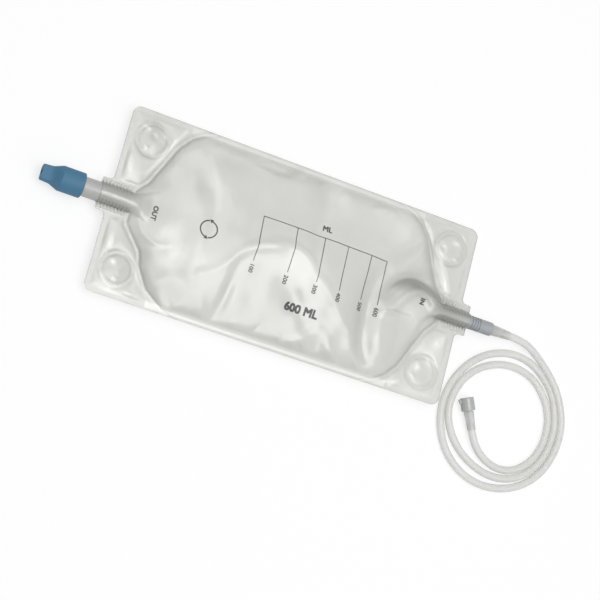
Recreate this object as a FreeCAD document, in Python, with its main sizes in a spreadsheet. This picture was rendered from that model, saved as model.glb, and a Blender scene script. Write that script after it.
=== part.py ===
import FreeCAD, Part
import math
import os
import Sketcher

# A clear film bag lying flat on a table, with a drain port closed by a twist cap at one end,
# and at the other end an inlet port, a connector and a length of tubing coiled beside the bag,
# which ends in a rotating luer lock.
# X runs along the bag from the outlet to the inlet, Z is up, and the origin is the middle of
# the patch of the back film that rests on the table. Millimetres throughout.

SIZES = {
    "bag_length": "272",
    "bag_width": "133.2",
    "bag_corner": "6",
    "film": "0.4",
    "pillow_rise": "10",
    "seam_width": "4",
    # Necks, the tabs of film that hold the two ports
    "neck_width": "23",
    "neck_reach": "7.5",
    "neck_root": "3.5",
    "neck_tip": "1",
    # Pocket outline, as insets from the ends of the bag
    "mouth_inset": "15.4",
    "mouth_width": "14",
    "knee_inset": "44.6",
    "knee_radius": "23",
    # Crown of the pillow, the flat patch in the middle of each film
    "crown_end_inset": "58",
    "crown_end_width": "12",
    "crown_knee_inset": "78",
    "crown_width": "56",
    "crown_radius": "18",
    # Ring welds in the four corners
    "ring_end_inset": "18.7",
    "ring_side_inset": "19.8",
    "ring_bore": "20.5",
    "ring_band": "2.2",
    "ring_rise": "0.4",
    # Ribbed welds along both sides of each port
    "rib_pitch": "2.5",
    "rib_width": "1.2",
    "rib_rise": "0.5",
    "rib_count": "8",
    "rib_margin": "1",
    # Ports, soft tubes welded between the films
    "port_depth": "18",
    "sleeve_run": "28",
    "outlet_diameter": "13.6",
    "outlet_bore": "10.2",
    "outlet_reach": "19.2",
    "inlet_diameter": "10.8",
    "inlet_bore": "7.6",
    "inlet_reach": "8",
    # Twist valve
    "turning_gap": "0.3",
    "stem_depth": "20",
    "stem_diameter": "8.6",
    "stem_length": "18.4",
    "stem_bore": "5",
    "stem_nose": "3.4",
    "bead_diameter": "9.8",
    "bead_width": "1.6",
    "bead_setback": "3",
    "window_diameter": "3.2",
    "window_setback": "13.2",
    "outflow_room": "1.3",
    "flute_depth": "1.1",
    "cap_diameter": "17.5",
    "cap_length": "29.1",
    "cap_barrel": "15.6",
    "cap_shoulder": "6.4",
    "cap_waist": "12.4",
    "cap_tip": "11.3",
    "cap_grip": "6.6",
    "cap_edge": "0.6",
    "cap_shoulder_round": "2.4",
    "cap_waist_round": "6",
    "cap_flat_round": "8.75",
    "drain_bore": "3.8",
    # Inlet connector and the tapered sleeve that holds the tubing
    "adapter_diameter": "10",
    "adapter_length": "19.2",
    "adapter_tail": "18",
    "adapter_bore": "4",
    "adapter_socket": "6",
    "adapter_groove": "0.6",
    "adapter_groove_start": "1.1",
    "adapter_groove_width": "1.1",
    "adapter_groove_count": "4",
    "adapter_groove_pitch": "2.1",
    "adapter_edge": "0.5",
    "sleeve_diameter": "8.2",
    "sleeve_length": "15.4",
    "sleeve_lip": "0.25",
    "tube_diameter": "5.6",
    "tube_grip": "5",
    # Coil of tubing on the table
    "coil_across": "104.6",
    "coil_hole": "77.6",
    "coil_x": "192",
    "coil_y": "-60",
    "coil_edge": "2.4",
    # Luer end
    "luer_x": "169",
    "luer_y": "-74.2",
    "luer_height": "5.4",
    "luer_angle": "114.5",
    "hub_skirt": "13.6",
    "hub_diameter": "7.4",
    "hub_neck": "6.2",
    "hub_flange": "7.2",
    "hub_flange_width": "1.2",
    "nose_diameter": "4.3",
    "nose_tip": "3.97",
    "nose_bore": "2.4",
    "nose_setback": "0.4",
    "collar_diameter": "10.3",
    "collar_length": "9.8",
    "collar_bore": "8",
    "collar_back": "1.6",
    "collar_edge": "0.8",
    "wing_reach": "1.3",
    "wing_root": "0.78",
    "wing_length": "3",
    "wing_thickness": "2",
}

doc = FreeCAD.newDocument("drainage_bag")
sheet = doc.addObject("Spreadsheet::Sheet", "Sizes")
for row, (name, text) in enumerate(SIZES.items(), start=1):
    sheet.set("A%d" % row, name)
    sheet.set("B%d" % row, text)
    sheet.setAlias("B%d" % row, name)
doc.recompute()


class Measure:
    """A size with its number and the words that tie it to the sheet."""

    def __init__(self, words, number):
        self.words = words
        self.number = number

    @staticmethod
    def of(other):
        if isinstance(other, Measure):
            return other
        return Measure(repr(float(other)), float(other))

    def __add__(self, other):
        other = Measure.of(other)
        return Measure("(%s + %s)" % (self.words, other.words), self.number + other.number)

    def __sub__(self, other):
        other = Measure.of(other)
        return Measure("(%s - %s)" % (self.words, other.words), self.number - other.number)

    def __rsub__(self, other):
        return Measure.of(other) - self

    def __mul__(self, other):
        other = Measure.of(other)
        return Measure("(%s * %s)" % (self.words, other.words), self.number * other.number)

    def __truediv__(self, other):
        other = Measure.of(other)
        return Measure("(%s / %s)" % (self.words, other.words), self.number / other.number)

    def __neg__(self):
        return Measure("(0 - %s)" % self.words, -self.number)

    __radd__ = __add__
    __rmul__ = __mul__


def size(name):
    """The sheet's value of that name."""
    return Measure("Sizes.%s" % name, float(sheet.get(name)))


ZERO = Measure("0", 0.0)

# A cut runs this many times as far as the piece that it goes through.
OVERCUT = 1.5


# Bodies, planes and sketches

def new_body(label):
    body = doc.addObject("PartDesign::Body", label)
    body.Label = label
    return body


def place(body, x, y, z, turn=None):
    """Stand a body at a point, turned about the vertical."""
    angle = turn.number if turn else 0.0
    body.Placement = FreeCAD.Placement(
        FreeCAD.Vector(x.number, y.number, z.number),
        FreeCAD.Rotation(FreeCAD.Vector(0, 0, 1), angle))
    body.setExpression("Placement.Base.x", x.words)
    body.setExpression("Placement.Base.y", y.words)
    body.setExpression("Placement.Base.z", z.words)
    if turn:
        body.setExpression("Placement.Rotation.Angle", turn.words)


def plane_of(body, role):
    for feature in body.Origin.OriginFeatures:
        if feature.Role == role:
            return feature
    raise RuntimeError("%s has no %s" % (body.Label, role))


def new_sketch(body, name, role, offset=ZERO):
    """A sketch on one of the body's own planes, moved along that plane's normal."""
    sketch = body.newObject("Sketcher::SketchObject", name)
    sketch.AttachmentSupport = [(plane_of(body, role), "")]
    sketch.MapMode = "FlatFace"
    sketch.AttachmentOffset = FreeCAD.Placement(
        FreeCAD.Vector(0, 0, offset.number), FreeCAD.Rotation())
    sketch.setExpression("AttachmentOffset.Base.z", offset.words)
    return sketch


def constrain(sketch, kind, *places, measure=None):
    """Add a constraint, bound to the sheet where it has a size."""
    if measure is None:
        return sketch.addConstraint(Sketcher.Constraint(kind, *places))
    number = sketch.addConstraint(Sketcher.Constraint(kind, *places, measure.number))
    sketch.setExpression("Constraints[%d]" % number, measure.words)
    return number


def pin_point(sketch, geometry, end, x, y):
    constrain(sketch, "DistanceX", -1, 1, geometry, end, measure=x)
    constrain(sketch, "DistanceY", -1, 1, geometry, end, measure=y)


def rounding_points(before, corner, after, radius):
    """Where a rounding of that radius leaves the two sides of a corner, and its centre."""
    back = (before - corner).normalize()
    ahead = (after - corner).normalize()
    half = back.getAngle(ahead) / 2
    run = radius / math.tan(half)
    centre = corner + (back + ahead).normalize() * (radius / math.sin(half))
    return corner + back * run, corner + ahead * run, centre


def outline(sketch, corners):
    """Closed outline of straight sides. A corner is x, y and, where it is rounded, a radius.

    The corners run anticlockwise. A rounded one keeps its sharp point as construction.
    """
    points = [FreeCAD.Vector(c[0].number, c[1].number, 0) for c in corners]
    count = len(points)
    starts = list(points)
    ends = list(points)
    arcs = {}
    for i, corner in enumerate(corners):
        if len(corner) < 3:
            continue
        before = points[i - 1]
        after = points[(i + 1) % count]
        ends[i], starts[i], centre = rounding_points(before, points[i], after, corner[2].number)
        arcs[i] = centre
    sides = []
    for i in range(count):
        sides.append(sketch.addGeometry(Part.LineSegment(starts[i], ends[(i + 1) % count])))
    for i, corner in enumerate(corners):
        side_in = sides[i - 1]
        side_out = sides[i]
        if i not in arcs:
            constrain(sketch, "Coincident", side_in, 2, side_out, 1)
            pin_point(sketch, side_out, 1, corner[0], corner[1])
            continue
        centre = arcs[i]
        turn = (points[i] - points[i - 1]).cross(points[(i + 1) % count] - points[i]).z
        first, last = (ends[i], starts[i]) if turn > 0 else (starts[i], ends[i])
        angle_first = math.atan2(first.y - centre.y, first.x - centre.x)
        angle_last = math.atan2(last.y - centre.y, last.x - centre.x)
        circle = Part.Circle(centre, FreeCAD.Vector(0, 0, 1), corner[2].number)
        arc = sketch.addGeometry(Part.ArcOfCircle(circle, angle_first, angle_last))
        arc_in, arc_out = (1, 2) if turn > 0 else (2, 1)
        constrain(sketch, "Tangent", side_in, 2, arc, arc_in)
        constrain(sketch, "Tangent", side_out, 1, arc, arc_out)
        constrain(sketch, "Radius", arc, measure=corner[2])
        sharp = sketch.addGeometry(Part.Point(points[i]), True)
        pin_point(sketch, sharp, 1, corner[0], corner[1])
        constrain(sketch, "PointOnObject", sharp, 1, side_in)
        constrain(sketch, "PointOnObject", sharp, 1, side_out)


def circle_at(sketch, x, y, radius):
    centre = FreeCAD.Vector(x.number, y.number, 0)
    circle = sketch.addGeometry(Part.Circle(centre, FreeCAD.Vector(0, 0, 1), radius.number))
    pin_point(sketch, circle, 3, x, y)
    constrain(sketch, "Radius", circle, measure=radius)


def half_disc(sketch, radius, side):
    """Half a disc that stands on the sketch's own X axis, above it or below it."""
    turn = 0.0 if side > 0 else math.pi
    circle = Part.Circle(FreeCAD.Vector(0, 0, 0), FreeCAD.Vector(0, 0, 1), radius.number)
    arc = sketch.addGeometry(Part.ArcOfCircle(circle, turn, turn + math.pi))
    low = FreeCAD.Vector(-side * radius.number, 0, 0)
    chord = sketch.addGeometry(Part.LineSegment(low, -low))
    constrain(sketch, "Coincident", arc, 3, -1, 1)
    constrain(sketch, "Coincident", arc, 2, chord, 1)
    constrain(sketch, "Coincident", arc, 1, chord, 2)
    constrain(sketch, "PointOnObject", arc, 1, -1)
    constrain(sketch, "PointOnObject", arc, 2, -1)
    constrain(sketch, "Radius", arc, measure=radius)


# Features

def extrude(body, kind, name, sketch, length, reverse=False, middle=False):
    """A pad or a pocket of a sketch."""
    feature = body.newObject("PartDesign::" + kind, name)
    feature.Profile = sketch
    feature.Length = length.number
    feature.setExpression("Length", length.words)
    feature.Reversed = reverse
    feature.Midplane = middle
    return feature


def turn_round(body, kind, name, sketch, axis="H_Axis"):
    """A revolution or a groove of a sketch, all the way round one of its axes."""
    feature = body.newObject("PartDesign::" + kind, name)
    feature.Profile = sketch
    feature.ReferenceAxis = (sketch, [axis])
    feature.Angle = 360.0
    return feature


def loft(body, kind, name, sections):
    feature = body.newObject("PartDesign::" + kind, name)
    feature.Profile = sections[0]
    feature.Sections = [(section, [""]) for section in sections[1:]]
    feature.Ruled = False
    return feature


def repeat_along_x(body, name, feature, length, count):
    """A row of copies along the body's X axis, and the same row on the other side of it."""
    pattern = body.newObject("PartDesign::LinearPattern", name)
    pattern.Originals = [feature]
    pattern.Direction = (plane_of(body, "X_Axis"), [""])
    pattern.Length = length.number
    pattern.setExpression("Length", length.words)
    pattern.Occurrences = int(count.number)
    pattern.setExpression("Occurrences", count.words)
    body.Tip = pattern
    return pattern


def turned_piece(label, profile, place_at):
    """A piece turned on a lathe: a profile of distances along X and from X."""
    body = new_body(label)
    sketch = new_sketch(body, label + "_profile", "XY_Plane")
    outline(sketch, profile)
    turn_round(body, "Revolution", label + "_turned", sketch)
    place(body, *place_at)
    return body


# Sizes that several pieces share

half_length = size("bag_length") / 2
half_width = size("bag_width") / 2
weld_height = size("pillow_rise")
film = size("film")
outlet_radius = size("outlet_diameter") / 2
inlet_radius = size("inlet_diameter") / 2
outlet_end = half_length + size("outlet_reach")
inlet_end = half_length + size("inlet_reach")
cap_base = outlet_end + size("turning_gap")
adapter_end = inlet_end + size("adapter_length")
tube_radius = size("tube_diameter") / 2
on_axis = (ZERO, ZERO, weld_height)


# Film panels

# Share of the way from the seam to the crown, and share of the rise, at each section of the dome
DOME_STEPS = ((0.0, 0.0), (0.22, 0.42), (0.58, 0.84), (1.0, 1.0))


def pocket_section(body, name, side, share, rise, lowered, squeeze):
    """Outline of the pocket part of the way up the dome."""
    def between(edge, crown):
        return edge + (crown - edge) * share

    mouth_x = between(half_length - size("mouth_inset"), half_length - size("crown_end_inset"))
    mouth_y = between(size("mouth_width") / 2, size("crown_end_width") / 2)
    knee_x = between(half_length - size("knee_inset"), half_length - size("crown_knee_inset"))
    knee_y = between(half_width - size("seam_width"), size("crown_width") / 2)
    radius = between(size("knee_radius"), size("crown_radius"))
    mouth_x = mouth_x - squeeze
    knee_y = knee_y - squeeze
    height = (size("pillow_rise") * rise - lowered) * side
    sketch = new_sketch(body, name, "XY_Plane", height)
    outline(sketch, [
        (mouth_x, -mouth_y),
        (mouth_x, mouth_y),
        (knee_x, knee_y, radius),
        (-knee_x, knee_y, radius),
        (-mouth_x, mouth_y),
        (-mouth_x, -mouth_y),
        (-knee_x, -knee_y, radius),
        (knee_x, -knee_y, radius),
    ])
    return sketch


def panel_outline(sketch):
    """Rounded rectangle of film with a neck at each end."""
    end = half_length
    side = half_width
    neck = size("neck_width") / 2
    reach = end + size("neck_reach")
    corner = size("bag_corner")
    root = size("neck_root")
    tip = size("neck_tip")
    outline(sketch, [
        (end, -side, corner),
        (end, -neck, root),
        (reach, -neck, tip),
        (reach, neck, tip),
        (end, neck, root),
        (end, side, corner),
        (-end, side, corner),
        (-end, neck, root),
        (-reach, neck, tip),
        (-reach, -neck, tip),
        (-end, -neck, root),
        (-end, -side, corner),
    ])


def port_channel(body, name, kind, side, radius, bag_side):
    """Half round channel of film over a port, from the tip of its neck into the pocket."""
    start = (half_length + size("neck_reach")) * bag_side
    sketch = new_sketch(body, name + "_section", "YZ_Plane", start)
    half_disc(sketch, radius, side)
    run = size("neck_reach") + size("port_depth") + size("sleeve_run")
    inward = bag_side > 0 if kind == "Pad" else bag_side < 0
    extrude(body, kind, name, sketch, run, reverse=inward)


def port_ribs(body, name, side, bag_side, radius):
    """Ribbed weld marks in the film on both sides of a port."""
    first = (half_length + size("neck_reach") - size("rib_margin")) * bag_side
    width = size("rib_width") * bag_side
    inner = radius + film / 2
    outer = size("neck_width") / 2 - size("rib_margin")
    sketch = new_sketch(body, name + "_section", "XY_Plane", ZERO)
    for across in (1, -1):
        corners = [
            (first - width, inner * across),
            (first, inner * across),
            (first, outer * across),
            (first - width, outer * across),
        ]
        if bag_side * across < 0:
            corners.reverse()
        outline(sketch, corners)
    rib = extrude(body, "Pad", name, sketch, film + size("rib_rise"), reverse=side < 0)
    run = size("rib_pitch") * (size("rib_count") - 1)
    row = repeat_along_x(body, name + "_row", rib, run, size("rib_count"))
    row.Reversed = bag_side > 0


def film_panel(label, side):
    """One film: a welded border, the dome of the pocket, port channels, ribs and ring welds."""
    body = new_body(label)
    border = new_sketch(body, label + "_outline", "XY_Plane")
    panel_outline(border)
    extrude(body, "Pad", label + "_border", border, film, reverse=side < 0)

    rings = new_sketch(body, label + "_rings", "XY_Plane")
    ring_x = half_length - size("ring_end_inset")
    ring_y = half_width - size("ring_side_inset")
    for x in (ring_x, -ring_x):
        for y in (ring_y, -ring_y):
            circle_at(rings, x, y, size("ring_bore") / 2)
            circle_at(rings, x, y, size("ring_bore") / 2 + size("ring_band"))
    extrude(body, "Pad", label + "_ring_welds", rings, film + size("ring_rise"), reverse=side < 0)

    outer = [pocket_section(body, "%s_outer_%d" % (label, i), side, share, rise, ZERO, ZERO)
             for i, (share, rise) in enumerate(DOME_STEPS)]
    loft(body, "AdditiveLoft", label + "_dome", outer)
    port_channel(body, label + "_outlet_cover", "Pad", side, outlet_radius + film, -1)
    port_channel(body, label + "_inlet_cover", "Pad", side, inlet_radius + film, 1)
    port_ribs(body, label + "_outlet_ribs", side, -1, outlet_radius)
    port_ribs(body, label + "_inlet_ribs", side, 1, inlet_radius)

    inner = [pocket_section(body, "%s_inner_%d" % (label, i), side, share, rise,
                            film if i else ZERO, film if not i else ZERO)
             for i, (share, rise) in enumerate(DOME_STEPS)]
    loft(body, "SubtractiveLoft", label + "_pocket", inner)
    port_channel(body, label + "_outlet_bore", "Pocket", side, outlet_radius, -1)
    port_channel(body, label + "_inlet_bore", "Pocket", side, inlet_radius, 1)
    place(body, *on_axis)
    return body


film_panel("front_film", 1)
film_panel("back_film", -1)


# Ports

def port_tube(label, start, end, radius, bore):
    """A plain tube along the bag's middle line, between two distances from its centre."""
    profile = [(start, bore), (end, bore), (end, radius), (start, radius)]
    if end.number < start.number:
        profile.reverse()
    return turned_piece(label, profile, on_axis)


port_inner_end = half_length - size("port_depth")
port_tube("outlet_port", -port_inner_end, -outlet_end, outlet_radius, size("outlet_bore") / 2)
port_tube("inlet_port", port_inner_end, inlet_end, inlet_radius, size("inlet_bore") / 2)


# Twist valve

def valve_stem():
    """The fixed half of the valve: a tail in the port and a closed nose with side windows."""
    tail_radius = size("outlet_bore") / 2
    stem_radius = size("stem_diameter") / 2
    bore = size("stem_bore") / 2
    bead = size("bead_diameter") / 2
    tail = -outlet_end + size("stem_depth")
    nose = -outlet_end - size("stem_length")
    bore_end = nose + size("stem_nose")
    bead_far = -outlet_end - size("bead_setback") - size("bead_width")
    bead_near = -outlet_end - size("bead_setback")
    body = turned_piece("valve_stem", [
        (bore_end, ZERO),
        (bore_end, bore),
        (tail, bore),
        (tail, tail_radius),
        (-outlet_end, tail_radius),
        (-outlet_end, stem_radius),
        (bead_near, stem_radius),
        (bead_near, bead),
        (bead_far, bead),
        (bead_far, stem_radius),
        (bore_end, stem_radius),
        (nose, bore),
        (nose, ZERO),
    ], on_axis)
    window = new_sketch(body, "valve_stem_window_section", "XY_Plane")
    circle_at(window, -outlet_end - size("window_setback"), ZERO, size("window_diameter") / 2)
    extrude(body, "Pocket", "valve_stem_windows", window, size("stem_diameter") * OVERCUT,
            middle=True)
    return body


def twist_cap():
    """The cap: a round skirt, a concave shoulder and a flat grip with the drain hole in it."""
    radius = size("cap_diameter") / 2
    waist = size("cap_waist") / 2
    tip = size("cap_tip") / 2
    edge = size("cap_edge")
    drain = size("drain_bore") / 2
    gap = size("turning_gap") / 2
    bore = size("stem_diameter") / 2 + gap
    bead_bore = size("bead_diameter") / 2 + gap
    base = -cap_base
    shoulder = base - size("cap_barrel")
    waist_at = shoulder - size("cap_shoulder")
    end = base - size("cap_length")
    bead_near = -outlet_end - size("bead_setback") + size("turning_gap")
    bead_far = -outlet_end - size("bead_setback") - size("bead_width") - size("turning_gap")
    chamber_end = -outlet_end - size("stem_length") - size("outflow_room")
    body = turned_piece("twist_cap", [
        (end, drain),
        (chamber_end, drain),
        (chamber_end, bore),
        (bead_far, bore),
        (bead_far, bead_bore),
        (bead_near, bead_bore),
        (bead_near, bore),
        (base, bore),
        (base, radius, edge),
        (shoulder, radius, size("cap_shoulder_round")),
        (waist_at, waist, size("cap_waist_round")),
        (end, tip, edge),
    ], on_axis)
    grip = size("cap_grip") / 2
    flats = new_sketch(body, "twist_cap_flats_section", "XZ_Plane")
    for across in (1, -1):
        corners = [
            (end - edge, grip * across),
            (waist_at, grip * across, size("cap_flat_round")),
            (shoulder, radius * across),
            (shoulder, radius * OVERCUT * across),
            (end - edge, radius * OVERCUT * across),
        ]
        if across < 0:
            corners.reverse()
        outline(flats, corners)
    extrude(body, "Pocket", "twist_cap_flats", flats, size("cap_diameter") * OVERCUT, middle=True)

    # Two flutes beside the bore, which a quarter turn brings over the windows of the stem
    flutes = new_sketch(body, "twist_cap_flutes_section", "XY_Plane")
    flute_start = -outlet_end - size("window_setback") + size("window_diameter") / 2
    flute_side = bore + size("flute_depth")
    outline(flutes, [
        (chamber_end, -flute_side),
        (flute_start, -flute_side),
        (flute_start, flute_side),
        (chamber_end, flute_side),
    ])
    extrude(body, "Pocket", "twist_cap_flutes", flutes, size("window_diameter"), middle=True)
    return body


valve_stem()
twist_cap()


# Inlet connector

def inlet_adapter():
    """Grey connector: a tail in the port, a grooved half to hold and a plain half."""
    radius = size("adapter_diameter") / 2
    tail_radius = size("inlet_bore") / 2
    bore = size("adapter_bore") / 2
    socket = size("sleeve_diameter") / 2
    floor = adapter_end - size("adapter_socket")
    body = turned_piece("inlet_adapter", [
        (inlet_end - size("adapter_tail"), bore),
        (floor, bore),
        (floor, socket),
        (adapter_end, socket),
        (adapter_end, radius, size("adapter_edge")),
        (inlet_end, radius),
        (inlet_end, tail_radius),
        (inlet_end - size("adapter_tail"), tail_radius),
    ], on_axis)
    groove = new_sketch(body, "inlet_adapter_groove_section", "XY_Plane")
    first = inlet_end + size("adapter_groove_start")
    outline(groove, [
        (first, radius - size("adapter_groove")),
        (first + size("adapter_groove_width"), radius - size("adapter_groove")),
        (first + size("adapter_groove_width"), radius * OVERCUT),
        (first, radius * OVERCUT),
    ])
    cut = turn_round(body, "Groove", "inlet_adapter_groove", groove)
    run = size("adapter_groove_pitch") * (size("adapter_groove_count") - 1)
    repeat_along_x(body, "inlet_adapter_grooves", cut, run, size("adapter_groove_count"))
    return body


def tube_sleeve():
    """Soft tapered sleeve between the connector and the tubing."""
    wide = size("sleeve_diameter") / 2
    narrow = tube_radius + size("sleeve_lip")
    bore = size("adapter_bore") / 2
    start = adapter_end - size("adapter_socket")
    end = adapter_end + size("sleeve_length")
    grip = end - size("tube_grip")
    return turned_piece("tube_sleeve", [
        (start, bore),
        (grip, bore),
        (grip, tube_radius),
        (end, tube_radius),
        (end, narrow),
        (adapter_end, wide),
        (start, wide),
    ], on_axis)


inlet_adapter()
tube_sleeve()


# Tubing

def tube_along(label, points, diameter):
    """Plain tube along straight runs joined by tangent arcs, as large as the runs allow."""
    points = [FreeCAD.Vector(*p) for p in points]
    edges = []
    radii = []
    here = points[0]
    for before, corner, after in zip(points, points[1:], points[2:]):
        back = before - corner
        ahead = after - corner
        turn = math.pi - back.getAngle(ahead)
        radius = 0.45 * min(back.Length, ahead.Length) / math.tan(turn / 2)
        radii.append(radius)
        enter, leave, centre = rounding_points(before, corner, after, radius)
        middle = centre + (corner - centre).normalize() * radius
        edges.append(Part.LineSegment(here, enter).toShape())
        edges.append(Part.Arc(enter, middle, leave).toShape())
        here = leave
    edges.append(Part.LineSegment(here, points[-1]).toShape())
    path = Part.Wire(edges)
    circle = Part.Circle(points[0], points[1] - points[0], diameter / 2)
    section = Part.Wire([circle.toShape()])
    solid = path.makePipeShell([section], True, True)
    tube = doc.addObject("Part::Feature", label)
    tube.Label = label
    tube.Shape = solid
    tube.Placement = FreeCAD.Placement()
    swept = path.Length * math.pi * diameter ** 2 / 4
    print("%s: length %.1f, smallest radius %.1f (%.1f diameters), volume %.4f of section x length"
          % (label, path.Length, min(radii), min(radii) / diameter, solid.Volume / swept))
    return tube


# The tube leaves the sleeve along the port's axis and comes down to the table beside the bag.
sleeve_end = adapter_end + size("sleeve_length")
tube_start = sleeve_end - size("tube_grip")
axis_z = weld_height.number
table_z = tube_radius.number
LEAD_ROUTE = [
    (tube_start.number, 0.0, axis_z),
    (185.8, 0.0, axis_z),
    (197.8, -2.2, 8.2),
    (209.4, -7.6, 4.8),
    (220.6, -15.6, 3.2),
    (230.2, -25.4, table_z),
    (236.8, -37.4, table_z),
]
tube_along("drain_tube_lead", LEAD_ROUTE, size("tube_diameter").number)


def tube_coil():
    """Two flat turns of tubing, side by side on the table, as one ring."""
    body = new_body("drain_tube_coil")
    outer = size("coil_across") / 2
    inner = size("coil_hole") / 2
    edge = size("coil_edge")
    section = new_sketch(body, "drain_tube_coil_section", "XZ_Plane")
    outline(section, [
        (inner, -tube_radius, edge),
        (outer, -tube_radius, edge),
        (outer, tube_radius, edge),
        (inner, tube_radius, edge),
    ])
    turn_round(body, "Revolution", "drain_tube_coil_turned", section, axis="V_Axis")
    place(body, size("coil_x"), size("coil_y"), tube_radius)
    return body


tube_coil()

# The last part turn lies inside the coil and ends in the luer hub.
luer_x = size("luer_x").number
luer_y = size("luer_y").number
luer_z = size("luer_height").number
luer_turn = math.radians(size("luer_angle").number)
toward_luer = FreeCAD.Vector(math.cos(luer_turn), math.sin(luer_turn), 0)
hub_mouth = FreeCAD.Vector(luer_x, luer_y, luer_z)
TAIL_ROUTE = [
    (224.8, -38.4, table_z),
    (229.0, -51.6, table_z),
    (228.6, -67.0, table_z),
    (222.4, -81.4, table_z),
    (211.0, -91.6, table_z),
    (197.2, -94.8, table_z),
    (185.2, -91.8, table_z + 0.5),
    (176.4, -85.8, table_z + 1.6),
    hub_mouth - toward_luer * 4.2,
    hub_mouth + toward_luer * size("tube_grip").number,
]
tube_along("drain_tube_tail", TAIL_ROUTE, size("tube_diameter").number)


# Luer end

luer_place = (size("luer_x"), size("luer_y"), size("luer_height"), size("luer_angle"))


def luer_hub():
    """Tapered skirt over the tubing, a neck and flange for the collar, and the luer nose."""
    narrow = tube_radius + size("sleeve_lip")
    wide = size("hub_diameter") / 2
    neck = size("hub_neck") / 2
    flange = size("hub_flange") / 2
    nose = size("nose_diameter") / 2
    tip = size("nose_tip") / 2
    bore = size("nose_bore") / 2
    skirt = size("hub_skirt")
    neck_end = skirt + size("turning_gap") * 2 + size("collar_back")
    flange_end = neck_end + size("hub_flange_width")
    end = skirt + size("turning_gap") + size("collar_length") - size("nose_setback")
    grip = size("tube_grip")
    return turned_piece("luer_hub", [
        (ZERO, tube_radius),
        (grip, tube_radius),
        (grip, bore),
        (end, bore),
        (end, tip),
        (flange_end, nose),
        (flange_end, flange),
        (neck_end, flange),
        (neck_end, neck),
        (skirt, neck),
        (skirt, wide),
        (ZERO, narrow),
    ], luer_place)


def luer_collar():
    """Lock collar that turns on the hub's neck, with a small thumb wing near its mouth."""
    radius = size("collar_diameter") / 2
    bore = size("collar_bore") / 2
    hole = size("hub_neck") / 2 + size("turning_gap") / 2
    edge = size("collar_edge")
    back = size("hub_skirt") + size("turning_gap")
    floor = back + size("collar_back")
    mouth = back + size("collar_length")
    body = turned_piece("luer_collar", [
        (back, hole),
        (floor, hole),
        (floor, bore),
        (mouth, bore),
        (mouth, radius, edge),
        (back, radius, edge),
    ], luer_place)
    wing = new_sketch(body, "luer_collar_wing_section", "XY_Plane")
    outline(wing, [
        (mouth - edge - size("wing_length"), (bore + radius) / 2),
        (mouth - edge, (bore + radius) / 2),
        (mouth - edge, radius + size("wing_reach")),
        (mouth - edge - size("wing_length"), radius + size("wing_root")),
    ])
    extrude(body, "Pad", "luer_collar_wing", wing, size("wing_thickness"), middle=True)
    return body


luer_hub()
luer_collar()


# Check every object, then write each piece

doc.recompute()
PIECES = [
    "front_film", "back_film", "outlet_port", "valve_stem", "twist_cap", "inlet_port",
    "inlet_adapter", "tube_sleeve", "drain_tube_lead", "drain_tube_coil", "drain_tube_tail",
    "luer_hub", "luer_collar",
]
faults = [obj.Label for obj in doc.Objects if "Invalid" in obj.State or "Error" in obj.State]
pieces = {obj.Label: obj for obj in doc.Objects if obj.Label in PIECES}
for label in PIECES:
    shape = pieces[label].Shape
    if shape.isNull() or not shape.isValid() or len(shape.Solids) != 1:
        faults.append(label + " shape")
if faults:
    raise RuntimeError("not built: " + ", ".join(faults))

os.makedirs("parts", exist_ok=True)
for label in PIECES:
    shape = pieces[label].Shape
    shape.exportStep("parts/%s.step" % label)
    box = shape.BoundBox
    print("%-16s %9.1f mm3  x %.1f %.1f  y %.1f %.1f  z %.1f %.1f" % (
        label, shape.Volume, box.XMin, box.XMax, box.YMin, box.YMax, box.ZMin, box.ZMax))
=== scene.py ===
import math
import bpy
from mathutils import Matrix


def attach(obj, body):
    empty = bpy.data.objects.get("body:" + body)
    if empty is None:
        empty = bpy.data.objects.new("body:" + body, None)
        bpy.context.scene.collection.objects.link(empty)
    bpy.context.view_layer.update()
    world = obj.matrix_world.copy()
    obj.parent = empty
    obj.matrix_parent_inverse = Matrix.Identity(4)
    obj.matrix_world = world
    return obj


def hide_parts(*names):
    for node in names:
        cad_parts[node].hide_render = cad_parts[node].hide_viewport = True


bl_info = {
    "name": "Drainage bag",
    "version": (1, 0, 0),
    "blender": (4, 5, 0),
    "location": "3D View > Sidebar > Drainage bag",
    "description": "Dresses the frame of a film drainage bag with its cap, tubing and luer lock",
    "category": "Object",
}

from functools import cache

import bpy
import numpy as np
from bpy.props import FloatProperty, FloatVectorProperty, PointerProperty
from mathutils import Quaternion, Vector
from mathutils.geometry import delaunay_2d_cdt

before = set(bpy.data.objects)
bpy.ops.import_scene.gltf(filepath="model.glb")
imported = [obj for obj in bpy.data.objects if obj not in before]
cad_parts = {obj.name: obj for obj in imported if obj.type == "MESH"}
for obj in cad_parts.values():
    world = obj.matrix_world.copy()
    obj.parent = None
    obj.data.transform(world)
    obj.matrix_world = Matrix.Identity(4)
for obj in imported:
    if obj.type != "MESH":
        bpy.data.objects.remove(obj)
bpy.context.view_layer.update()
MM = 0.001


# Settings

def colour_of(name, what, colour):
    """A setting for the colour of something."""
    return FloatVectorProperty(
        name=name, description="Colour of the " + what, subtype="COLOR", default=colour,
        min=0, max=1)


class FilmSettings(bpy.types.PropertyGroup):
    """The two film panels. Distances are in millimetres."""

    colour: colour_of("Colour", "clear film", (0.71, 0.715, 0.672))
    opacity: FloatProperty(
        name="Opacity", description="How much one layer of film hides", subtype="FACTOR",
        default=0.5, min=0, max=1)
    rise: FloatProperty(
        name="Rise", description="Height of the pocket above its seams", default=9.6, min=1)
    seam: FloatProperty(
        name="Seam width", description="Welded band round the edge", default=4.2, min=0.5)
    slackness: FloatProperty(
        name="Slackness", description="Strength of the front film's folds", default=1.7, min=0)


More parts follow.
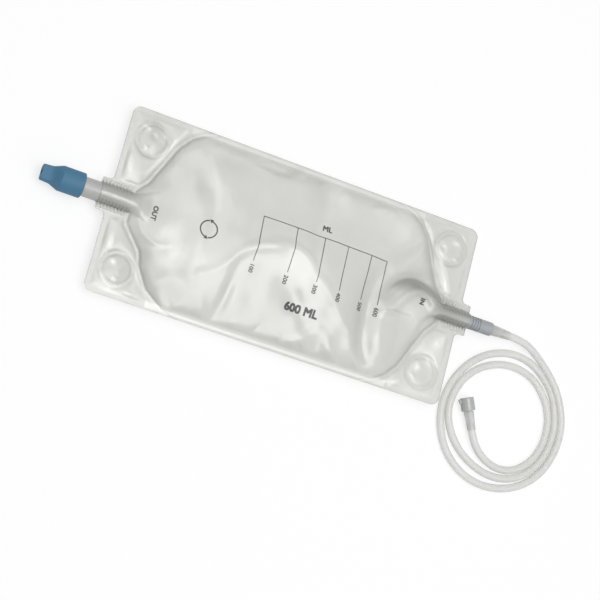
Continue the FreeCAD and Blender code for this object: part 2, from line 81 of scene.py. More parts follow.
class PrintSettings(bpy.types.PropertyGroup):
    """Printing on the front film."""

    colour: colour_of("Ink", "printed lines and figures", (0.05, 0.05, 0.05))
    line: FloatProperty(
        name="Line width", description="Width of the printed lines, in millimetres",
        default=0.55, min=0.1)
    lift: FloatProperty(
        name="Lift", description="Distance of the ink from the film, in millimetres",
        default=0.1, min=0.02)


class TubingSettings(bpy.types.PropertyGroup):
    """The drain tubing."""

    colour: colour_of("Colour", "milky tubing", (0.80, 0.80, 0.77))
    diameter: FloatProperty(
        name="Diameter", description="Outside diameter", subtype="DISTANCE",
        default=0.0056, min=0.001)
    length: FloatProperty(
        name="Length", description="Length of the tubing", subtype="DISTANCE",
        default=0.765, min=0.05)


class FittingSettings(bpy.types.PropertyGroup):
    """Ports, valve, connector and luer lock."""

    cap: colour_of("Cap", "twist cap", (0.068, 0.196, 0.318))
    port: colour_of("Outlet", "outlet port's tube", (0.54, 0.545, 0.53))
    inlet: colour_of("Inlet", "inlet port's tube", (0.50, 0.51, 0.52))
    stem: colour_of("Stem", "valve stem", (0.42, 0.52, 0.60))
    adapter: colour_of("Adapter", "inlet adapter", (0.39, 0.405, 0.43))
    hub: colour_of("Luer hub", "luer hub", (0.62, 0.63, 0.61))
    collar: colour_of("Luer collar", "luer collar", (0.50, 0.52, 0.50))


class StageSettings(bpy.types.PropertyGroup):
    """Camera, lights and floor."""

    camera: FloatVectorProperty(
        name="Camera", description="Place of the camera", subtype="XYZ", unit="LENGTH",
        default=(-0.41680, -0.30848, 1.21092))
    aim: FloatVectorProperty(
        name="Aim", description="Point in the middle of the picture", subtype="XYZ", unit="LENGTH",
        default=(0.01504, -0.02552, 0.010))
    roll: FloatProperty(
        name="Roll", description="Turn of the camera about its own axis", subtype="ANGLE",
        default=math.radians(73.52))
    lens: FloatProperty(
        name="Lens", description="Focal length in millimetres, on a sensor 36 wide",
        default=112.48, min=1)
    light: FloatProperty(
        name="Light", description="Strength of the lamps", default=1.0, min=0)


# Shader nodes

class Value:
    """The output of a node, so that shader maths reads as an expression."""

    def __init__(self, finish, socket):
        self.finish = finish
        self.socket = socket

    def maths(self, operation, first, second):
        return self.finish.node("Math", {"operation": operation}, {0: first, 1: second})

    def __add__(self, other):
        return self.maths("ADD", self, other)

    def __radd__(self, other):
        return self.maths("ADD", other, self)

    def __mul__(self, other):
        return self.maths("MULTIPLY", self, other)

    def __rmul__(self, other):
        return self.maths("MULTIPLY", other, self)


class Finish:
    """A material that is put together node by node round one shader."""

    def __init__(self, name):
        self.material = bpy.data.materials.new(name)
        self.material.use_nodes = True
        self.tree = self.material.node_tree
        self.shader = self.tree.nodes["Principled BSDF"]
        self.output = self.tree.nodes["Material Output"]

    def feed(self, socket, value):
        if isinstance(value, Value):
            self.tree.links.new(value.socket, socket)
        elif socket.type == "RGBA":
            socket.default_value = (*value, 1)
        else:
            socket.default_value = value

    def node(self, kind, settings, inputs, output=0):
        """Any node: its settings first, then the values or links of its sockets."""
        made = self.tree.nodes.new("ShaderNode" + kind)
        for name, value in settings.items():
            setattr(made, name, value)
        for key, value in inputs.items():
            self.feed(made.inputs[key], value)
        return Value(self, made.outputs[output])

    def set(self, **sockets):
        """Sockets of the shader, with underscores for the spaces in their names."""
        for name, value in sockets.items():
            label = name.replace("_", " ").title().replace("Ior", "IOR")
            self.feed(self.shader.inputs[label], value)

    def place(self):
        """Where a point lies in the frame, in metres."""
        return self.node("TexCoord", {}, {}, "Object")

    def along(self, axis):
        """How far a point lies along one of the frame's axes."""
        return self.node("SeparateXYZ", {}, {0: self.place()}, axis)

    def noise(self, scale, detail):
        return self.node("TexNoise", {}, {
            "Vector": self.place(), "Scale": scale, "Detail": detail}, "Fac")

    def spread(self, value, low, high, new_low, new_high):
        """A value moved from one range to another, and held at both of its ends."""
        return self.node("MapRange", {}, {
            "Value": value, "From Min": low, "From Max": high,
            "To Min": new_low, "To Max": new_high})

    def mix(self, factor, first, second):
        """A colour between two others."""
        return self.node("Mix", {"data_type": "RGBA"}, {0: factor, 6: first, 7: second}, 2)

    def bump(self, height, distance, strength):
        return self.node("Bump", {}, {
            "Height": height, "Distance": distance, "Strength": strength}, "Normal")


def shade(colour, factor):
    """A darker or lighter version of a colour."""
    return tuple(min(1.0, c * factor) for c in colour)


def moulded(name, colour, roughness, coat):
    """Moulded plastic: cloudy colour, fine grain and a soft gloss."""
    finish = Finish(name)
    cloud = finish.noise(70.0, 3.0)
    fine = finish.noise(900.0, 2.0)
    tint = finish.spread(cloud, 0.3, 0.7, 0.0, 1.0)
    finish.set(
        base_color=finish.mix(tint, shade(colour, 0.93), shade(colour, 1.06)),
        roughness=finish.spread(cloud + fine * 0.5, 0.5, 1.0, roughness - 0.06, roughness + 0.08),
        normal=finish.bump(fine, 0.00006, 0.6),
        coat_weight=coat, coat_roughness=0.25, ior=1.47)
    return finish.material


def milky(name, colour, opacity, roughness, coat=0.35, fade=None):
    """Soft milky tube that lets a little light through.

    A fade gives an axis, where along it the change starts and stops, and the colour and opacity
    that it ends in.
    """
    finish = Finish(name)
    cloud = finish.noise(45.0, 2.0)
    fine = finish.noise(700.0, 2.0)
    tint = finish.mix(cloud, shade(colour, 0.95), shade(colour, 1.05))
    cover = opacity
    if fade:
        axis, start, stop, last_colour, last_opacity = fade
        share = finish.spread(finish.along(axis), start, stop, 0.0, 1.0)
        tint = finish.mix(share, tint, last_colour)
        cover = opacity + share * (last_opacity - opacity)
    finish.set(
        base_color=tint,
        roughness=finish.spread(fine, 0.3, 0.7, roughness - 0.05, roughness + 0.07),
        normal=finish.bump(cloud + fine * 0.2, 0.0001, 0.5),
        alpha=cover, coat_weight=coat, coat_roughness=0.12, ior=1.5)
    return finish.material


def film_finish(name, colour, opacity):
    """Clear soft film: a grey tint, darker where it is welded, with painted shade on its steep
    flanks and creases, painted highlights, and a wet gloss.

    The mesh's weld attribute gives each point's tone: welds, ribs and painted shade above nothing,
    painted highlight below it. Below nothing the tint turns paler and the opacity stays, because a
    thinner film renders in blotches.
    """
    finish = Finish(name)
    haze = finish.noise(22.0, 3.0)
    ripple = finish.noise(160.0, 2.0)
    marks_and_painted_light = finish.node("Attribute", {"attribute_name": "weld"}, {}, "Fac")
    pale = finish.mix(haze, shade(colour, 0.97), shade(colour, 1.03))
    # Painted highlight: a paler tint where the tone is below nothing
    clear = finish.spread(marks_and_painted_light, -0.5, 0.0, 1.0, 0.0)
    pale = finish.mix(clear, pale, shade(colour, 1.34))
    # Darker tint and more opacity for the welds, the ribs and the painted shade
    finish.set(
        base_color=finish.mix(marks_and_painted_light, pale, shade(colour, 0.5)),
        roughness=0.2 + haze * 0.06,
        alpha=opacity - 0.05 + haze * 0.1 + finish.spread(marks_and_painted_light, 0.0, 1.0, 0.0, 0.35),
        normal=finish.bump(ripple, 0.0002, 0.25),
        coat_weight=0.4, coat_roughness=0.14, ior=1.7)
    return finish.material


# Meshes

def place_object(name, data):
    """A new object in the scene."""
    made = bpy.data.objects.new(name, data)
    bpy.context.scene.collection.objects.link(made)
    return made


def add_piece(name, data):
    """A new piece of the part, riding on the bag."""
    piece = place_object(name, data)
    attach(piece, "bag")
    return piece


def paint_node(node, material):
    """Gives a CAD node its finish."""
    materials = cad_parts[node].data.materials
    materials.clear()
    materials.append(material)


# Film shape. Everything in this part is in millimetres, in the plan of the bag.

HALF_LENGTH = 136.0
HALF_WIDTH = 66.6
NECK_END = 143.5
NECK_HALF = 11.5
WELD_HEIGHT = 10.0
FILM_OFFSET = 0.25  # from the plane of the welds to the middle of each film
RING = (117.3, 46.8)
RING_INSIDE = 10.25
RING_BAND = 2.2
PORT_END = 118.0
OUTLET_RADIUS = 7.1
INLET_RADIUS = 5.7
RIB_PITCH = 2.5
RIB_START = 1.0  # from the end of the neck
RIB_CREST = 0.6  # from there to the first crest
ARC_STEP = 0.7

# Corner x, corner y and radius round one quarter. The other quarters are its mirror images.
OUTLINE_QUARTER = (
    (NECK_END, NECK_HALF, 1.0),
    (HALF_LENGTH, NECK_HALF, 3.5),
    (HALF_LENGTH, HALF_WIDTH, 6.0),
)

# The slanting seam of a corner, from the neck to the long edge. One corner has the wavy one.
SEAM_PATH = ((120.5, 9.0), (118, 12), (113, 17.5), (107, 30), (99, 48), (91, 58), (84, 62.6),
             (74, 66))
SEAM_PATH_WAVY = ((121, 9), (120.4, 15.2), (114.1, 22.3), (106.6, 30.7), (105.2, 35),
                  (104.6, 39.2), (95.1, 54.4), (81.3, 63.5), (74, 66))


def rounded_outline(corners):
    """Points round a closed outline whose corners are x, y, radius."""
    points = []
    count = len(corners)
    for i, (x, y, radius) in enumerate(corners):
        corner = Vector((x, y))
        back = (Vector(corners[i - 1][:2]) - corner).normalized()
        ahead = (Vector(corners[(i + 1) % count][:2]) - corner).normalized()
        half = back.angle(ahead) / 2
        run = radius / math.tan(half)
        centre = corner + (back + ahead).normalized() * (radius / math.sin(half))
        first = corner + back * run - centre
        last = corner + ahead * run - centre
        turn = first.angle_signed(last)
        pieces = max(2, int(abs(turn) * radius / ARC_STEP))
        for k in range(pieces + 1):
            angle = turn * k / pieces
            spun = Vector((first.x * math.cos(angle) + first.y * math.sin(angle),
                           first.y * math.cos(angle) - first.x * math.sin(angle)))
            points.append(centre + spun)
    return points


def full_outline():
    """The corners of the whole outline, mirrored from its quarter."""
    right_top = list(OUTLINE_QUARTER)
    left_top = [(-x, y, r) for x, y, r in reversed(right_top)]
    left_low = [(-x, -y, r) for x, y, r in right_top]
    right_low = [(x, -y, r) for x, y, r in reversed(right_top)]
    return right_top + left_top + left_low + right_low


def divided(points, step):
    """A closed outline again, with no run longer than a step."""
    fine = []
    for a, b in zip(points, points[1:] + points[:1]):
        pieces = max(1, math.ceil((b - a).length / step))
        fine += [a.lerp(b, k / pieces) for k in range(pieces)]
    return fine


def inside(x, y, ring):
    """Which points lie inside one closed ring."""
    odd = np.zeros(np.shape(x), bool)
    for (ax, ay), (bx, by) in zip(ring, ring[1:] + ring[:1]):
        if ay != by:
            odd ^= ((ay > y) != (by > y)) & (x < (bx - ax) * (y - ay) / (by - ay) + ax)
    return odd


def lattice(left, right, low, high, step):
    """A lattice of near even triangles, held a little inside its box."""
    rows = np.arange(low + step * 0.6, high - step * 0.5, step * 0.866)
    points = []
    for k, y in enumerate(rows):
        shift = step * (0.25 if k % 2 else 0.75)
        x = np.arange(left + shift, right - step * 0.2, step)
        points.append(np.stack([x, np.full(len(x), y)], 1))
    return np.concatenate(points)


def straight_runs(x, y, path):
    """For each straight run of a path: the distance to it, and the nearest point's share of it."""
    for (ax, ay), (bx, by) in zip(path, path[1:]):
        dx, dy = bx - ax, by - ay
        share = np.clip(((x - ax) * dx + (y - ay) * dy) / (dx * dx + dy * dy), 0, 1)
        yield np.hypot(x - ax - share * dx, y - ay - share * dy), share


def path_distance(x, y, path):
    """Distance of each point to a path."""
    nearest = np.full(np.shape(x), np.inf)
    for gap, _ in straight_runs(x, y, path):
        nearest = np.minimum(nearest, gap)
    return nearest


def smooth_step(value, low, high):
    """0 up to low, 1 from high on, and an even curve between them."""
    share = np.clip((value - low) / (high - low), 0, 1)
    return share * share * (3 - 2 * share)


def band(value, start, full, fading, end):
    """1 from full to fading, 0 before the start and past the end."""
    return smooth_step(value, start, full) * (1 - smooth_step(value, fading, end))


def seam_distance(x, y):
    """Distance to the nearest slanting seam."""
    across = np.abs(y)
    along = np.abs(x)
    plain = path_distance(along, across, SEAM_PATH)
    wavy = path_distance(along, across, SEAM_PATH_WAVY)
    return np.where((x < 0) & (y < 0), wavy, plain)


def ring_distance(x, y):
    """Distance to the centre of the ring weld in that corner."""
    return np.hypot(np.abs(x) - RING[0], np.abs(y) - RING[1])


def ring_offset(x, y):
    """How far outside the middle line of the ring weld's band a point lies."""
    return ring_distance(x, y) - RING_INSIDE - RING_BAND / 2


def port_radius(x):
    """Radius of the port tube at that end of the bag, with the film over it."""
    return np.where(x < 0, OUTLET_RADIUS, INLET_RADIUS)


def rib_place(x):
    """Distance into the ribbed weld of a neck, from its outer end."""
    return NECK_END - RIB_START - np.abs(x)


def rib_wave(along):
    """The ribs as a wave between -1 and 1."""
    return np.cos((along - RIB_CREST) * 2 * math.pi / RIB_PITCH)


class FilmShape:
    """Heights of the film above the weld plane, from a membrane held at every weld."""

    # The membrane's grid, how it is relaxed and how hard each chamber is blown up
    PITCH, MARGIN = 0.75, 6.0
    SWEEPS, RELAXATION = 420, 1.95
    POCKET_LOAD, CORNER_LOAD, RING_LOAD = 1.0, 2.2, 1.5
    SEAM_HALF = 1.5
    ROUNDING = 0.004

    # How far the film fans out and sinks past the end of a port tube, and over what run
    FLARE, SINK = 0.8, 0.95
    FLARE_RUN, SINK_RUN = 18, 17

    # The ribbed weld's length, and heights of its ribs and of the ridges that the tool leaves
    RIBBED, RIB_HEIGHT = 20, 0.8
    RING_BEAD, SEAM_BEAD, BEAD_WIDTH = 0.3, 0.25, 0.9

    # How dark the marks are, how bright the painted highlights on the taller puckers are, and how
    # much paler the seam band inside the long edges reads, partly as welded film that reads
    # clearer and partly as painted highlight that is stronger on the low edge
    RIM_DARK, SEAM_DARK, PUCKER_LIGHT = 0.42, 0.3, 0.7
    LOW_LIGHT, TOP_LIGHT, LIGHT_END = 0.6, 0.25, 92

    def __init__(self, settings):
        self.settings = settings
        self.columns = int(2 * (HALF_LENGTH + self.MARGIN) / self.PITCH) + 1
        self.rows = int(2 * (HALF_WIDTH + self.MARGIN) / self.PITCH) + 1
        self.left = -(self.columns - 1) * self.PITCH / 2
        self.low = -(self.rows - 1) * self.PITCH / 2
        x, y = np.meshgrid(self.left + np.arange(self.columns) * self.PITCH,
                           self.low + np.arange(self.rows) * self.PITCH)
        seam = settings.seam
        free = (np.abs(x) < HALF_LENGTH - seam) & (np.abs(y) < HALF_WIDTH - seam)
        free &= seam_distance(x, y) > self.SEAM_HALF
        free &= np.abs(ring_offset(x, y)) > RING_BAND / 2
        free &= ~((np.abs(x) > PORT_END + 1) & (np.abs(y) < NECK_HALF + 2))
        corner = self.in_corner(x, y)
        in_ring = ring_distance(x, y) < RING_INSIDE
        load = np.where(corner, np.where(in_ring, self.RING_LOAD, self.CORNER_LOAD),
                        self.POCKET_LOAD)
        self.solved = self.solve(free, load)
        self.tallest = self.solved[~corner].max()

    @staticmethod
    def in_corner(x, y):
        """Whether a point lies on the corner's side of its slanting seam."""
        along = np.abs(x)
        across = np.abs(y)
        edge = np.interp(across, [p[1] for p in SEAM_PATH], [p[0] for p in SEAM_PATH])
        return along > edge

    def solve(self, free, load):
        """Heights of the loaded membrane, by over-relaxation on two colours of cells."""
        height = np.zeros(free.shape)
        parity = np.indices(free.shape).sum(0) % 2
        inner = np.zeros(free.shape, bool)
        inner[1:-1, 1:-1] = True
        colours = [free & inner & (parity == k) for k in (0, 1)]
        push = load * self.PITCH ** 2
        for _ in range(self.SWEEPS):
            for cells in colours:
                around = np.zeros(free.shape)
                around[1:-1, 1:-1] = (height[:-2, 1:-1] + height[2:, 1:-1]
                                      + height[1:-1, :-2] + height[1:-1, 2:])
                target = (around + push) / 4
                height[cells] += self.RELAXATION * (target[cells] - height[cells])
        return height

    def membrane(self, x, y):
        """The membrane between its cells, as a cubic spline surface."""
        column = (x - self.left) / self.PITCH
        row = (y - self.low) / self.PITCH
        total = np.zeros(np.shape(x))
        c0 = np.floor(column).astype(int)
        r0 = np.floor(row).astype(int)
        weights_c = self.spline_weights(column - c0)
        weights_r = self.spline_weights(row - r0)
        for i in range(4):
            for j in range(4):
                r = np.clip(r0 + i - 1, 0, self.rows - 1)
                c = np.clip(c0 + j - 1, 0, self.columns - 1)
                total += weights_r[i] * weights_c[j] * self.solved[r, c]
        return total

    @staticmethod
    def spline_weights(t):
        """Shares of the four cells round a place that lies t past the second."""
        return ((1 - t) ** 3 / 6, (3 * t ** 3 - 6 * t ** 2 + 4) / 6,
                (-3 * t ** 3 + 3 * t ** 2 + 3 * t + 1) / 6, t ** 3 / 6)

    def pillow(self, x, y):
        """Inflated height of the pocket and of the corner chambers."""
        raised = self.membrane(x, y) / self.tallest
        return self.settings.rise * raised / np.sqrt(raised + self.ROUNDING)

    def port(self, x, y):
        """Height of the film where it lies over a port tube, and past the tube's end."""
        radius = port_radius(x)
        past = PORT_END - np.abs(x)
        spread = radius * (1 + self.FLARE * smooth_step(past, -2, self.FLARE_RUN))
        top = radius * (1 - self.SINK * smooth_step(past, 0, self.SINK_RUN))
        return top * np.sqrt(np.clip(1 - (y / spread) ** 2, 0, 1))

    def ribs(self, x, y):
        """Ribbed welds on both sides of the ports."""
        radius = port_radius(x)
        along = rib_place(x)
        wave = 0.5 + 0.5 * rib_wave(along)
        mask = (smooth_step(along, -0.2, 0.1) * smooth_step(self.RIBBED - along, -0.4, 0.4)
                * smooth_step(np.abs(y), radius - 1.6, radius - 0.4)
                * (1 - smooth_step(np.abs(y), NECK_HALF - 1.6, NECK_HALF - 0.8)))
        return self.RIB_HEIGHT * mask * np.clip(wave * 1.6 - 0.2, 0, 1)

    def marks(self, x, y):
        """How much darker the film reads along its cut edge, its seams and its ribs, with painted
        shade in the creases and along the necks, and painted highlights where the tone is below
        nothing.
        """
        edge = np.minimum(HALF_LENGTH - np.abs(x), HALF_WIDTH - np.abs(y))
        edge = np.where(np.abs(y) < NECK_HALF + 1, NECK_END - np.abs(x), edge)
        uneven = 0.6 + 0.25 * np.cos(0.37 * x + 1.3 * np.cos(0.11 * x)) + 0.15 * np.cos(0.8 * y)
        rim = self.RIM_DARK * uneven * np.exp(-(edge / 0.7) ** 2)
        seam = np.minimum(seam_distance(x, y), np.abs(ring_offset(x, y)))
        seams = self.SEAM_DARK * np.exp(-((seam - 1.4) / 0.6) ** 2)
        along = rib_place(x)
        teeth = 0.5 - 0.5 * rib_wave(along)
        beside = np.exp(-((np.abs(y) - port_radius(x) + 0.4) / 1.5) ** 2)
        ribbed = (1.2 * teeth + 0.2) * (beside * smooth_step(22 - along, 0, 1))
        # Painted shade above nothing, in places for creased film, and painted highlights below
        # nothing
        shade_and_highlights = sum(dark * self.stroke(x, y, width, path) for width, dark, path in CREASE_SHADE_AND_HIGHLIGHTS)
        # Painted highlights on the taller puckers
        shade_and_highlights -= sum(self.PUCKER_LIGHT * self.stroke(x, y, 0.6 * width, path)
                       for width, rise, path in PUCKERS if rise > 0.35)
        # Paler seam band inside the long edges: welded film that reads clearer, plus painted
        # highlight that is stronger on the low edge
        light = np.where(y < 0, self.LOW_LIGHT, self.TOP_LIGHT) * band(edge, 0.8, 1.8, 4.5, 7)
        necks = self.neck_shadow(x, y, along) * (0.42 + 0.7 * teeth)
        return rim + seams + ribbed + shade_and_highlights - light * (np.abs(x) < self.LIGHT_END) + necks

    @staticmethod
    def neck_shadow(x, y, along):
        """Dark bands on both sides of the light line along each neck."""
        inlet = band(y, 0.2, 1.4, 5.6, 7.0) + band(-y, 2.2, 3.2, 5.6, 7.0)
        outlet = 0.26 * band(y, 2.4, 3.8, 5.6, 7.0) + 0.26 * band(-y, 4.4, 5.6, 6.6, 7.8)
        return np.where(x > 0, inlet * smooth_step(27 - along, 0, 6),
                        outlet * smooth_step(24 - along, 0, 3))

    def weld_bead(self, x, y):
        """The low ridges along the ring welds and the slanting seams."""
        ring = self.RING_BEAD * np.exp(-(ring_offset(x, y) / self.BEAD_WIDTH) ** 2)
        seam = self.SEAM_BEAD * np.exp(-(seam_distance(x, y) / self.BEAD_WIDTH) ** 2)
        return ring + seam * (np.abs(x) < PORT_END + 2)

    def folds(self, x, y):
        """Slack folds of the front film, drawn as strokes over the pocket."""
        total = np.zeros(np.shape(x))
        for width, height, path in FOLDS:
            total += height * self.stroke(x, y, width, path)
        for length, turn, start in RIPPLES:
            along = x * math.cos(turn) + y * math.sin(turn)
            total += RIPPLE_RISE * length * np.cos(2 * math.pi * along / length + start)
        return total

    @staticmethod
    def stroke(x, y, width, path):
        """A soft ridge along a smooth line, lower towards both of its ends."""
        line = np.array(path, float)
        for _ in range(3):
            early = line[:-1] * 0.75 + line[1:] * 0.25
            late = line[:-1] * 0.25 + line[1:] * 0.75
            middle = np.stack([early, late], 1).reshape(-1, 2)
            line = np.concatenate([line[:1], middle[1:-1], line[-1:]])
        nearest = np.full(np.shape(x), np.inf)
        share = np.zeros(np.shape(x))
        for number, (gap, part) in enumerate(straight_runs(x, y, line)):
            closer = gap < nearest
            nearest = np.where(closer, gap, nearest)
            share = np.where(closer, (number + part) / (len(line) - 1), share)
        taper = np.sqrt(np.clip(np.sin(math.pi * (0.06 + 0.88 * share)), 0, 1))
        return taper * np.exp(-(nearest / width) ** 2)

    def front(self, x, y):
        """Height of the front film, whose pocket runs softly into the bulges over the ports."""
        pillow = self.pillow(x, y)
        port = self.port(x, y)
        blend = 1.2 + 1.6 * smooth_step(PORT_END - np.abs(x), -2, 10)
        body = np.log(np.exp(pillow / blend) + np.exp(port / blend) - 1) * blend
        slack = smooth_step(pillow, 0.4, 4.5) * self.settings.slackness
        height = body + slack * self.folds(x, y)
        puckered = smooth_step(pillow, 0.2, 0.8)
        for width, rise, path in PUCKERS + gathers():
            height += puckered * rise * self.stroke(x, y, width, path)
        return np.maximum(height, 0) + self.ribs(x, y) + self.weld_bead(x, y) + FILM_OFFSET

    def back(self, x, y):
        """Height of the back film, which the table flattens."""
        pillow = np.minimum(self.pillow(x, y) * 1.04, WELD_HEIGHT - FILM_OFFSET)
        body = np.maximum(pillow, self.port(x, y))
        return -(body + self.weld_bead(x, y) * 0.6 + FILM_OFFSET)


# Lines that more than one fold or tone follows
MAIN_RIDGE = ((-46, -16), (-30, -4), (-10, 2), (8, -2), (26, -14), (44, -28))
LOW_CREASE = ((-38, -16), (-40, -30), (-41, -45), (-44, -62))
INLET_CREASE = ((71, -14), (79, -13), (85, -12.3), (91, -11.6), (97, -11))
TOP_HOLLOW = ((70, 19), (78, 28), (85, 37), (89, 46), (86, 55))

# Folds of the front film: the width, the height and the line of each
FOLDS = (
    (14, 1.3, MAIN_RIDGE),
    (27, 1.7, MAIN_RIDGE),
    (4, 0.9, ((-62, -33), (-53, -27), (-44, -17), (-39, -9), (-31, -3), (-19, 2), (-5, 6),
                (8, 2), (18, -7), (30, -16), (40, -26), (52, -37))),
    (4, -1.0, LOW_CREASE),
    (8, -0.4, ((-80, 39), (-73, 32), (-66, 20), (-61, 8), (-59, -8), (-57, -22))),
    (8, 0.3, ((-78, 47), (-70, 40), (-62, 28), (-56, 12), (-54, -8))),
    (8, -0.3, ((-78, -8), (-76, -22), (-70, -34), (-62, -42))),
    (5, -0.8, ((15, 62), (16, 50), (14.5, 36), (12.5, 20), (14, 6), (19, -6))),
    (8, -1.9, ((65, 16), (63, 4), (62, -10), (62, -26), (64, -42), (71, -52))),
    (7, 1.3, ((75, -12), (76, -26), (78, -42), (79, -56))),
    (5.5, 1.0, ((56, -30), (57, -44), (64, -55), (76, -59))),
    (5, 0.6, ((83, -14), (85, -30), (86, -46))),
    (5, 0.7, ((99, -8), (104, -18), (103, -27))),
    (4, 1.9, ((76, -14), (82, -10), (87, -2), (92, 4), (99, 7.5), (106, 7), (111, 4), (117, 1),
                (124, 0))),
    (3.2, -1.3, ((73, -4), (76, 6), (81, 12), (90, 16.5), (100, 17), (110, 14), (120, 10))),
    (3, -0.9, ((117, -3), (113, -8), (109, -15), (104, -24))),
    (4.5, 0.8, ((77, 16), (86, 26), (94, 36), (97, 46), (92, 54))),
    (5, -0.8, TOP_HOLLOW),
    (0.9, -0.3, INLET_CREASE),
    (3, -0.9, ((-46, 57), (-28, 56), (-8, 56.5))),
    (3.5, 0.7, ((50, 54), (58, 56), (66, 58))),
    (4.5, 0.8, ((8, -64), (20, -54), (30, -44))),
    (4.5, 0.8, ((52, -64), (42, -54), (36, -46))),
    (4.5, 0.3, ((-58, -47), (-55, -54), (-52, -61))),
    (6, -0.8, ((-2, -18), (8, -28), (20, -42))),
    (1.8, 0.35, ((-120, -1), (-114, -8), (-110, -17), (-104, -21), (-95, -23), (-88, -20))),
)

# Small puckers of the corners, and dents where the height is below nothing, in the same terms
PUCKERS = (
    (2.4, 0.45, ((-126, 55), (-122, 53))), (1.8, 0.4, ((-122, 41), (-120, 39))),
    (1.8, 0.35, ((-111, 49), (-107, 47))), (2, -0.4, ((-119, 50), (-115, 48))),
    (3, 0.6, ((-129, 31), (-128, 21))), (1.6, 0.3, ((-106, 31), (-111, 22), (-118, 15))),
    (2.2, 0.5, ((-123, -41), (-120, -42))), (2.4, 0.5, ((-119, -55), (-116, -54))),
    (1.8, 0.4, ((-128, -53), (-125, -58), (-119, -60))), (2, -0.4, ((-113, -47), (-110, -42))),
    (3, 0.5, ((-127, -25), (-127, -34))), (2, 0.4, ((-109, -60), (-103, -61))),
    (1.8, -0.5, ((110, 47), (112, 44))), (1.4, -0.5, ((125, 48), (127, 46))),
    (2.2, 0.5, ((118, 52), (122, 51))), (1.8, 0.4, ((121, 40), (124, 39))),
    (2.6, 0.5, ((112, -41), (115, -45))), (2.4, 0.5, ((119, -36), (122, -40))),
    (2, 0.4, ((108, -50), (112, -53))), (3.2, 0.8, ((127, -19), (124, -25))),
    (3, 0.6, ((116, 29), (120, 20), (123, 14))), (2, 0.4, ((101, -58), (95, -63))),
)

# Small gathers where the pocket meets its long seams: place along the bag, lean and height of each
GATHERS_TOP = ((-74, 5, 0.5), (-63, -3, -0.4), (-46, 6, 0.55), (-33, 4, -0.45), (-19, -3, 0.35),
               (-7, 5, -0.5), (6, 6, 0.6), (21, 4, -0.4), (31, -3, 0.45), (47, 6, -0.5),
               (58, 5, 0.55), (73, -4, -0.4), (82, 5, 0.4))
GATHERS_LOW = ((-79, 4, -0.2), (-68, -5, 0.2), (-49, 5, -0.25), (-31, 4, 0.25), (-12, -4, -0.4),
               (3, 5, 0.5), (17, 6, -0.5), (38, -4, 0.5), (49, 5, -0.45), (64, 4, 0.4))
GATHER_WIDTH = 2.0
GATHER_FOOT = 54.5
GATHER_HEAD = 61.0


def gathers():
    """The gathers of both long seams, as strokes."""
    strokes = []
    for side, places in ((1, GATHERS_TOP), (-1, GATHERS_LOW)):
        for x, lean, rise in places:
            line = ((x, side * GATHER_FOOT), (x + lean, side * GATHER_HEAD))
            strokes.append((GATHER_WIDTH, rise, line))
    return tuple(strokes)


# Painted tones: the width, the tone and the line of each. A tone above nothing is painted shade,
# in places standing for film that is creased and denser; a tone below nothing is a painted
# highlight.
CREASE_SHADE_AND_HIGHLIGHTS = (
    (13, -0.42, ((-16, -3), (0, -3), (16, -10), (26, -22))),
    (9, -0.2, ((-66, -16), (-56, -20), (-50, -26))),
    (10, -0.2, ((62, 50), (76, 46), (90, 42))),
    (13, 0.42, ((-96, -34), (-80, -44), (-62, -48))),
    (11, 0.1, ((-30, -50), (-4, -52), (22, -52))), (9, 0.16, ((-104, 20), (-96, 4), (-98, -14))),
    (5, -0.4, ((126, -18), (123, -28))), (4, -0.3, ((-127, 30), (-125, 20))),
    (15, 0.28, ((-126, 55), (-112, 50))), (15, 0.27, ((-126, -52), (-112, -46))),
    (1.7, -0.9, ((106, 44), (112, 36), (118, 25), (122, 15))),
    (1.4, -0.7, ((-96, 61), (-104, 46), (-110, 33), (-116, 22))),
    (1.4, -0.7, ((-108, -36), (-105, -44), (-98, -54), (-88, -62))),
    (9, -0.24, ((112, -30), (124, -32), (126, -46))),
    (5, -0.3, ((98, -61), (114, -62), (128, -60))),
    (7, -0.3, ((88, -7), (98, -8), (105, -14))),
    (0.8, -0.7, ((-142, -0.6), (-130, -0.9), (-120, -1.4))),
    (4.2, 0.95, ((77, -2), (81, 7), (90, 11.5), (99, 12.5), (110, 10.5), (117, 8), (128, 6))),
    (2.4, 0.5, ((110, -10), (117, -6.5), (123, -4), (131, -4))),
    (6, 0.22, ((64, 12), (62, -4), (61, -22), (63, -40), (69, -51))),
    (6, 0.3, ((86, 15), (96, 21), (110, 20))), (0.7, 0.5, INLET_CREASE),
    (0.8, 0.45, ((88, 61), (96, 53), (103, 42), (107, 34))),
    (5, 0.14, TOP_HOLLOW),
    (5, -0.4, ((-85, -4), (-86, -15), (-84, -26), (-79, -30))),
    (5, 0.34, ((-74, -13), (-69, -29), (-64, -40))),
    (2.6, -0.3, ((-75, 48), (-69, 38), (-65, 27), (-62, 14))),
    (3, 0.28, ((-78, 38), (-73, 28), (-70, 18))), (5, 0.24, ((-68, 48), (-56, 50), (-45, 48))),
    (2.6, 0.3, ((-25, 53), (-14, 57), (-8, 64))), (5, 0.2, ((6, 60), (9, 51), (10, 38))),
    (6, -0.3, ((21, 62), (26, 54), (30, 46))), (1.3, -0.9, ((-123, 54), (-121, 53))),
    (1.2, -0.8, ((-122, 40), (-121, 38))), (1.2, -0.6, ((-111, 53), (-108, 50))),
    (1.5, -0.8, ((-123, -42), (-120, -43))), (1.5, -0.8, ((-119, -52), (-117, -55))),
    (1.1, -0.7, ((-126, -52), (-124, -58), (-117, -60), (-110, -57))),
    (1.8, -0.6, ((-127, -29), (-125, -33))),
    (1.4, -0.6, ((-129, -61), (-119, -62.5), (-106, -62.5))),
    (4, 0.12, LOW_CREASE),
    (6, 0.22, ((-136, 0), (-122, 2), (-106, 2), (-92, 2))),
)

# Faint ripples all over: the length, direction and place of each
RIPPLES = tuple((14 + 3.1 * k, 2.4 * k, 1.7 * k * k) for k in range(7))
RIPPLE_RISE = 0.0025  # of its length


